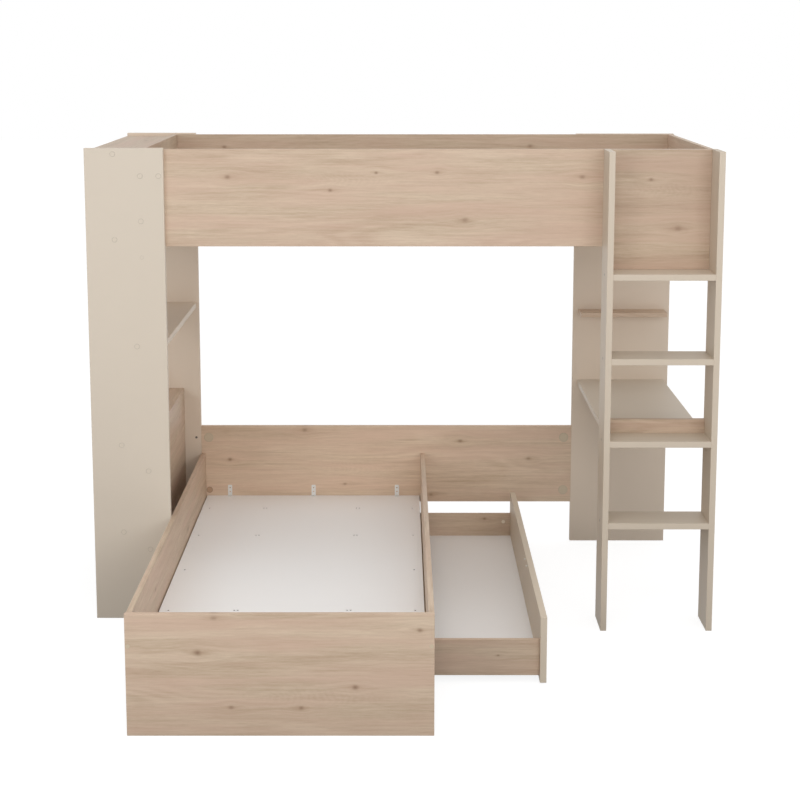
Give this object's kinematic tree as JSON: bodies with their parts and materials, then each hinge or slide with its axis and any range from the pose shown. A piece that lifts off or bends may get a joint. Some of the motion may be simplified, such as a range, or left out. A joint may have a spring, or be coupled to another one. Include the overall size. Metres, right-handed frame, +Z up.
{
  "type": "l shaped bunk bed",
  "caption": "Bunk bed of beige and oak boards: the lower bed at right angles under the upper one, with a shelf tower, ladder, desk and castor drawer.",
  "frame": {"origin": "on the floor, under the middle of the overall box", "axes": "+Z up; X along the upper bed, from the shelf tower (-X) to the ladder and desk (+X); -Y is the front, where the lower bed and the ladder stand out"},
  "size_m": [2.275, 2.076, 1.755],
  "materials": {
    "beige_board": "smooth satin melamine in plain beige, edges banded in the same colour",
    "oak_board": "satin light oak decor, grain along each board's length, a few small knots",
    "white_board": "smooth matt white melamine",
    "raw_timber": "planed pine strips, unfinished",
    "beech_dowel": "plain fluted beech",
    "cap_plastic": "fine satin moulded plastic, in the board's beige",
    "white_plastic": "satin white plastic",
    "white_metal": "white powder coat",
    "zinc_steel": "bright zinc plating, lightly dulled",
    "wheel_plastic": "dark grey moulded plastic with a smooth tread"
  },
  "bodies": {
    "frame": {"tower_front_panel": "beige_board", "tower_rear_panel": "beige_board", "tower_top_board": "oak_board", "tower_niche_board": "oak_board", "tower_middle_shelf": "beige_board", "cabinet_top_board": "oak_board", "cabinet_shelf": "oak_board", "cabinet_back_panel": "oak_board", "upper_front_board": "oak_board", "upper_back_board": "oak_board", "upper_end_board_left": "oak_board", "upper_end_board_right": "oak_board", "upper_base_supports": "raw_timber", "upper_base_panel": "white_board", "lower_front_board": "oak_board", "lower_rail_left": "oak_board", "lower_rail_right": "oak_board", "low_back_board": "oak_board", "lower_base_supports": "raw_timber", "lower_base_panel": "white_board", "base_brackets": "white_metal", "ladder_rail_left": "beige_board", "ladder_rail_right": "beige_board", "ladder_step_1": "beige_board", "ladder_step_2": "beige_board", "ladder_step_3": "beige_board", "ladder_step_4": "beige_board", "ladder_upper_board": "oak_board", "ladder_desk_strip": "oak_board", "desk_top": "beige_board", "desk_rear_panel": "beige_board", "wall_shelf": "oak_board", "connector_screws": "zinc_steel", "face_screws": "zinc_steel", "cover_caps": "cap_plastic", "dowels": "beech_dowel", "base_screws": "zinc_steel", "cleat_screws": "zinc_steel", "desk_cams": "zinc_steel", "desk_cam_bolts": "zinc_steel", "corner_bolts": "zinc_steel", "barrel_nuts": "zinc_steel"},
    "drawer": {"drawer_front": "beige_board", "drawer_side_front": "oak_board", "drawer_side_rear": "oak_board", "drawer_back": "oak_board", "drawer_bottom": "white_board", "drawer_batten": "raw_timber", "drawer_cams": "zinc_steel", "drawer_cam_bolts": "zinc_steel", "drawer_dowels": "beech_dowel", "drawer_bumpers": "white_plastic", "castor_brackets": "zinc_steel", "castor_screws": "zinc_steel", "castor_axles": "zinc_steel"},
    "wheel_front_inner": {"wheel_front_inner": "wheel_plastic"},
    "wheel_front_outer": {"wheel_front_outer": "wheel_plastic"},
    "wheel_rear_inner": {"wheel_rear_inner": "wheel_plastic"},
    "wheel_rear_outer": {"wheel_rear_outer": "wheel_plastic"}
  },
  "joints": [
    {"name": "drawer_slide", "type": "slide", "parent": "frame", "child": "drawer", "axis": [1, 0, 0], "range_m": [-0.357, 0.238]},
    {"name": "wheel_front_inner_spin", "type": "hinge", "parent": "drawer", "child": "wheel_front_inner", "pos_m": [-0.2993, -0.507, 0.019], "axis": [0, 1, 0], "continuous": true},
    {"name": "wheel_front_outer_spin", "type": "hinge", "parent": "drawer", "child": "wheel_front_outer", "pos_m": [0.4007, -0.507, 0.019], "axis": [0, 1, 0], "continuous": true},
    {"name": "wheel_rear_inner_spin", "type": "hinge", "parent": "drawer", "child": "wheel_rear_inner", "pos_m": [-0.2993, 0.836, 0.019], "axis": [0, 1, 0], "continuous": true},
    {"name": "wheel_rear_outer_spin", "type": "hinge", "parent": "drawer", "child": "wheel_rear_outer", "pos_m": [0.4007, 0.836, 0.019], "axis": [0, 1, 0], "continuous": true}
  ]
}
